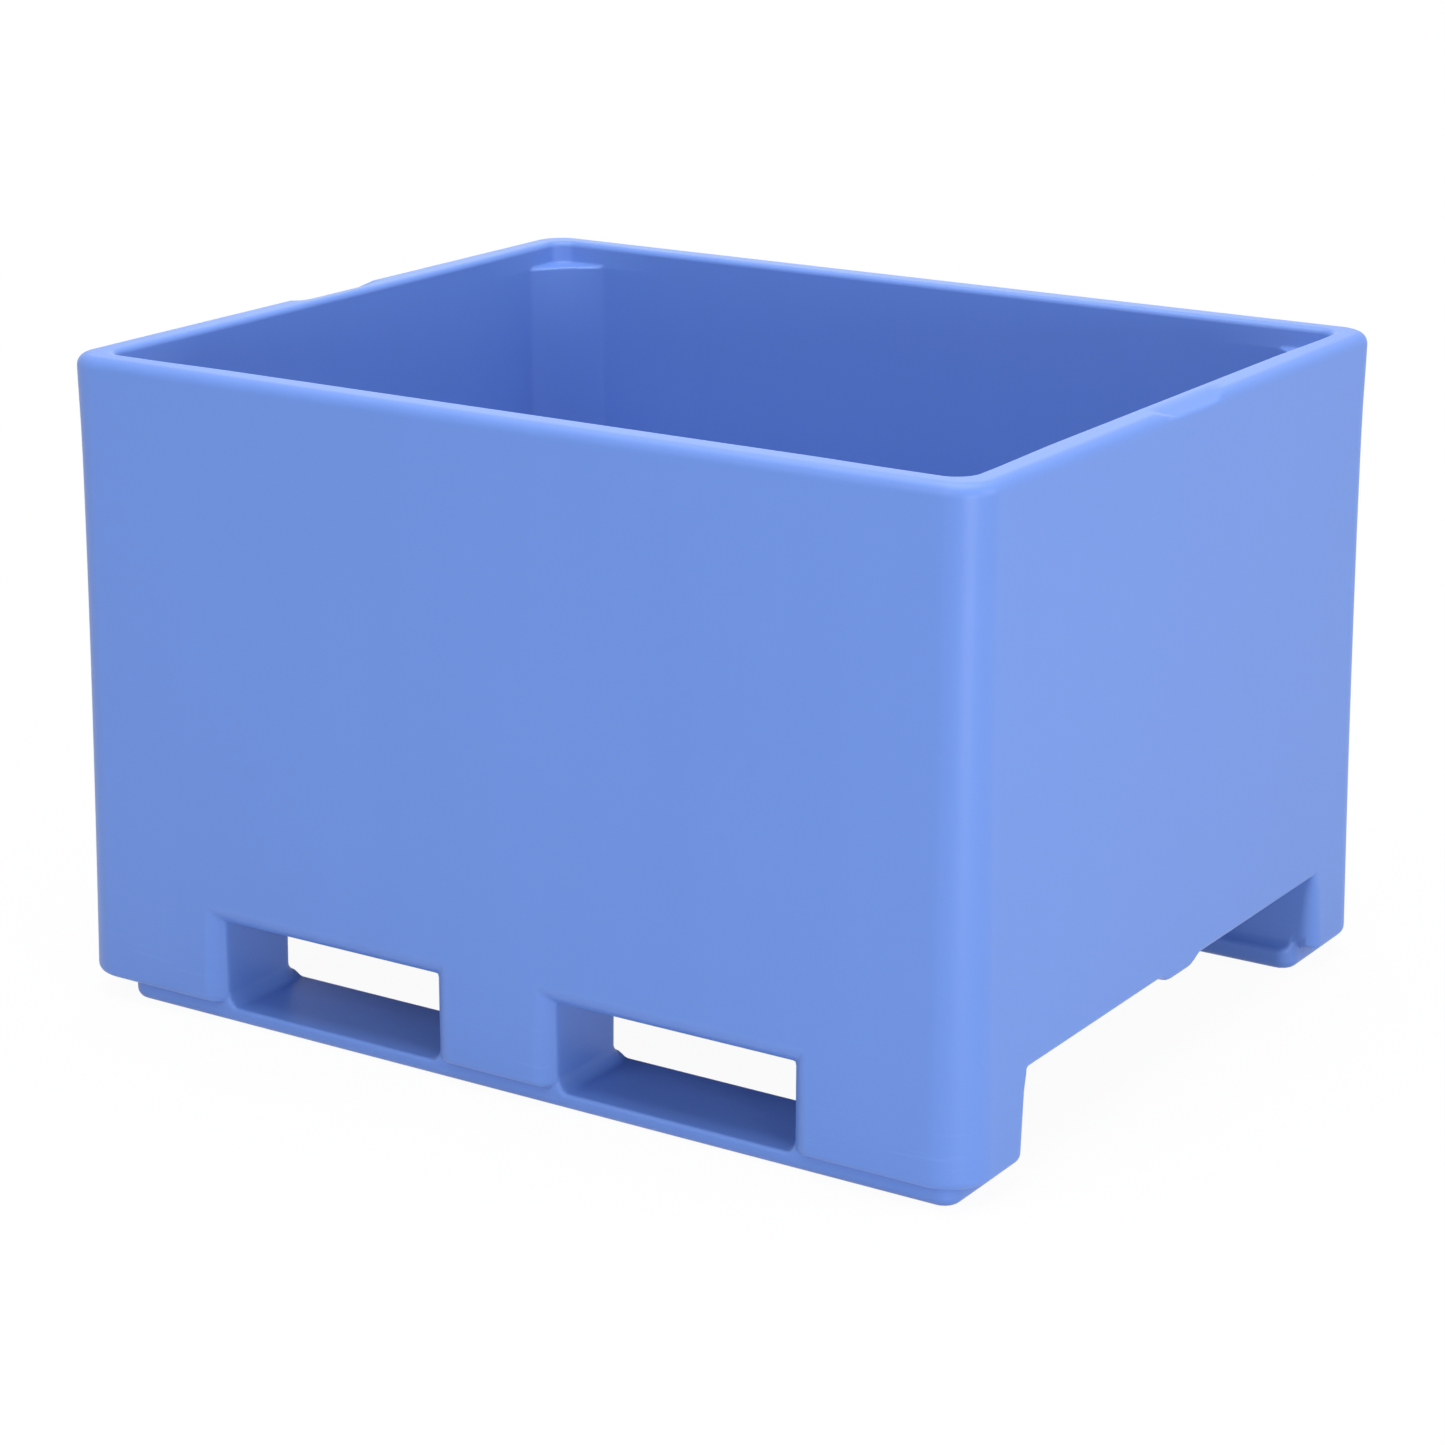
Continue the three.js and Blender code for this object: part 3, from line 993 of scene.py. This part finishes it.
@dataclass
class Lamp:
    """One soft square lamp."""

    name: str
    place: Triple
    target: Triple
    size: float
    power: float

    def build(self) -> bpy.types.Object:
        """Places the lamp and turns it to its target.

        Returns:
            The lamp.
        """
        light = bpy.data.lights.new(self.name, "AREA")
        light.shape = "SQUARE"
        light.size = self.size
        light.energy = self.power
        lamp = bpy.data.objects.new(self.name, light)
        bpy.context.scene.collection.objects.link(lamp)
        lamp.location = self.place
        aim = Vector(self.target) - Vector(self.place)
        lamp.rotation_euler = aim.to_track_quat("-Z", "Y").to_euler()
        LOG.info("%s: %.0f W", self.name, self.power)
        return lamp


@dataclass
class Studio:
    """Plain pale floor, white surroundings and soft lamps above, in front, beside and behind."""

    floor_size: float = 60.0
    floor_colour: Triple = (0.80, 0.80, 0.81)
    # Near the tub the floor is lifted to white by this share, and fully beyond the far reach.
    floor_lift: float = 0.95
    lift_reach: tuple[float, float] = (0.9, 2.2)
    sky_light: float = 0.30
    lamps: list[Lamp] = field(
        default_factory=lambda: [
            Lamp("top_lamp", (0.0, 0.0, 4.2), (0.0, 0.0, 0.4), 4.0, 190.0),
            Lamp("front_lamp", (-0.4, -4.6, 3.2), (0.0, 0.0, 0.4), 3.0, 100.0),
            Lamp("side_lamp", (4.8, 0.8, 2.4), (0.0, 0.0, 0.4), 2.6, 84.0),
            Lamp("low_lamp", (4.2, -3.0, 0.6), (0.0, 0.0, 0.2), 1.2, 92.0),
            Lamp("rim_lamp", (-2.8, 4.4, 2.3), (0.0, 0.0, 0.7), 3.2, 20.0),
        ]
    )

    @staticmethod
    def seen_rays(tree: Tree) -> Socket:
        """Picks the rays that show the background: seen, mirrored or passed through glass.

        Args:
            tree: Tree that gets the nodes.

        Returns:
            The socket that gives 1 for such rays.
        """
        path = tree.nodes.new("ShaderNodeLightPath").outputs
        total = add_sum(tree, Sum.LARGER, path["Is Camera Ray"], path["Is Glossy Ray"])
        return add_sum(tree, Sum.LARGER, total, path["Is Transmission Ray"])

    def build_world(self) -> None:
        """Makes the sky white where it is seen, and softer where it lights the tub."""
        world = bpy.data.worlds.new("studio_world")
        bpy.context.scene.world = world
        world.use_nodes = True
        tree = world.node_tree
        tree.nodes.clear()
        seen = self.seen_rays(tree)
        strength = tree.nodes.new("ShaderNodeMapRange")
        strength.inputs["To Min"].default_value = self.sky_light
        strength.inputs["To Max"].default_value = 1.0
        tree.links.new(seen, strength.inputs["Value"])
        sky = tree.nodes.new("ShaderNodeBackground")
        sky.inputs["Color"].default_value = WHITE
        tree.links.new(strength.outputs["Result"], sky.inputs["Strength"])
        output = tree.nodes.new("ShaderNodeOutputWorld")
        tree.links.new(sky.outputs["Background"], output.inputs["Surface"])

    def floor_material(self) -> bpy.types.Material:
        """Makes a pale floor that looks nearly white and still takes the tub's soft shadow.

        Returns:
            The material.
        """
        material = bpy.data.materials.new("studio_floor")
        material.use_nodes = True
        tree = material.node_tree
        tree.nodes.clear()
        matt = tree.nodes.new("ShaderNodeBsdfDiffuse")
        matt.inputs["Color"].default_value = (*self.floor_colour, 1.0)
        glow = tree.nodes.new("ShaderNodeEmission")
        glow.inputs["Color"].default_value = WHITE
        place = tree.nodes.new("ShaderNodeTexCoord")
        reach = tree.nodes.new("ShaderNodeVectorMath")
        reach.operation = "LENGTH"
        tree.links.new(place.outputs["Object"], reach.inputs[0])
        lift = tree.nodes.new("ShaderNodeMapRange")
        lift.interpolation_type = "SMOOTHSTEP"
        lift.inputs["From Min"].default_value = self.lift_reach[0]
        lift.inputs["From Max"].default_value = self.lift_reach[1]
        lift.inputs["To Min"].default_value = self.floor_lift
        tree.links.new(reach.outputs["Value"], lift.inputs["Value"])
        share = add_sum(tree, Sum.MULTIPLY, self.seen_rays(tree), lift.outputs["Result"])
        blend = tree.nodes.new("ShaderNodeMixShader")
        tree.links.new(share, blend.inputs["Fac"])
        tree.links.new(matt.outputs["BSDF"], blend.inputs[1])
        tree.links.new(glow.outputs["Emission"], blend.inputs[2])
        output = tree.nodes.new("ShaderNodeOutputMaterial")
        tree.links.new(blend.outputs["Shader"], output.inputs["Surface"])
        return material

    def build(self) -> None:
        """Builds the floor, the world and the lamps."""
        half = 0.5 * self.floor_size
        mesh = bpy.data.meshes.new("studio_floor")
        mesh.from_pydata(
            [(-half, -half, 0.0), (half, -half, 0.0), (half, half, 0.0), (-half, half, 0.0)],
            [], [(0, 1, 2, 3)],
        )
        mesh.materials.append(self.floor_material())
        floor = bpy.data.objects.new("studio_floor", mesh)
        bpy.context.scene.collection.objects.link(floor)
        self.build_world()
        for lamp in self.lamps:
            lamp.build()
        bpy.context.scene.view_settings.view_transform = "Standard"
        LOG.info("studio: floor, world and %d lamps", len(self.lamps))


@dataclass
class PhotoCamera:
    """Camera at the photograph's viewing angle."""

    place: Triple = (2.3239, -3.6070, 1.6319)
    heading_deg: float = -32.926
    pitch_deg: float = 17.107
    roll_deg: float = -0.100
    focal_pixels: float = 3745.8
    image_pixels: float = 1445.0
    sensor_mm: float = 36.0

    def axes(self) -> Matrix:
        """Works out which way the camera is turned.

        Returns:
            Its right, up and backward directions, as the columns of a matrix.
        """
        heading = math.radians(self.heading_deg)
        pitch = math.radians(self.pitch_deg)
        roll = math.radians(self.roll_deg)
        level = Vector((math.cos(heading), -math.sin(heading), 0.0))
        ahead = Vector((
            math.sin(heading) * math.cos(pitch),
            math.cos(heading) * math.cos(pitch),
            -math.sin(pitch),
        ))
        down = ahead.cross(level)
        right = math.cos(roll) * level + math.sin(roll) * down
        below = math.cos(roll) * down - math.sin(roll) * level
        return Matrix((right, -below, -ahead)).transposed()

    def build(self) -> bpy.types.Object:
        """Builds the camera and makes it the scene's own.

        Returns:
            The camera.
        """
        data = bpy.data.cameras.new("photo_camera")
        data.sensor_fit = "HORIZONTAL"
        data.sensor_width = self.sensor_mm
        data.lens = self.focal_pixels / self.image_pixels * self.sensor_mm
        camera = bpy.data.objects.new("photo_camera", data)
        bpy.context.scene.collection.objects.link(camera)
        camera.matrix_world = Matrix.Translation(self.place) @ self.axes().to_4x4()
        bpy.context.scene.camera = camera
        LOG.info("photo_camera: lens %.1f mm", data.lens)
        return camera


def main() -> None:
    """Builds the camera, the studio and the tub."""
    logging.basicConfig(level=logging.INFO, format="%(name)s: %(message)s")
    PhotoCamera().build()
    Studio().build()
    MouldedTub(PolyethyleneFinish()).build()


if __name__ == "__main__":
    main()
